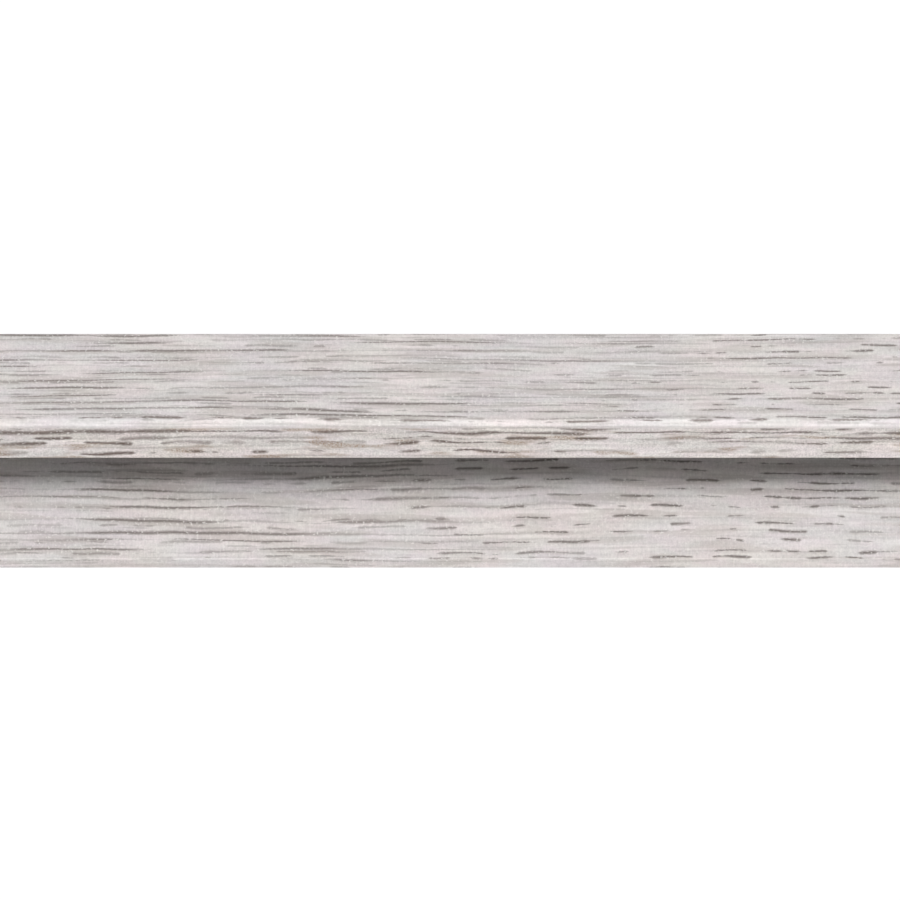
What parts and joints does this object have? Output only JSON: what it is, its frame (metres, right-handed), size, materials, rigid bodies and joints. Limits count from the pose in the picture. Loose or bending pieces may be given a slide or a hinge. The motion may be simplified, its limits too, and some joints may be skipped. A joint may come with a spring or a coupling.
{
  "type": "acoustic panel end trim",
  "caption": "Straight wood-effect end trim with a rounded slat-like nose over an undercut felt slot and a thin wall flange, for closing the side of a slatted acoustic panel.",
  "frame": {"origin": "middle of the flat wall face, which is the lowest face as the trim lies", "axes": "+X along the trim's length, +Z out of the wall towards the front face, +Y towards the closed outer side; the flange and the slot's mouth are on the -Y side"},
  "size_m": [2.4, 0.049, 0.0245],
  "materials": {
    "grey_oak_film": "light grey limed oak film, matt, on an MDF core"
  },
  "bodies": {
    "root": {"end_trim": "grey_oak_film"}
  },
  "joints": []
}
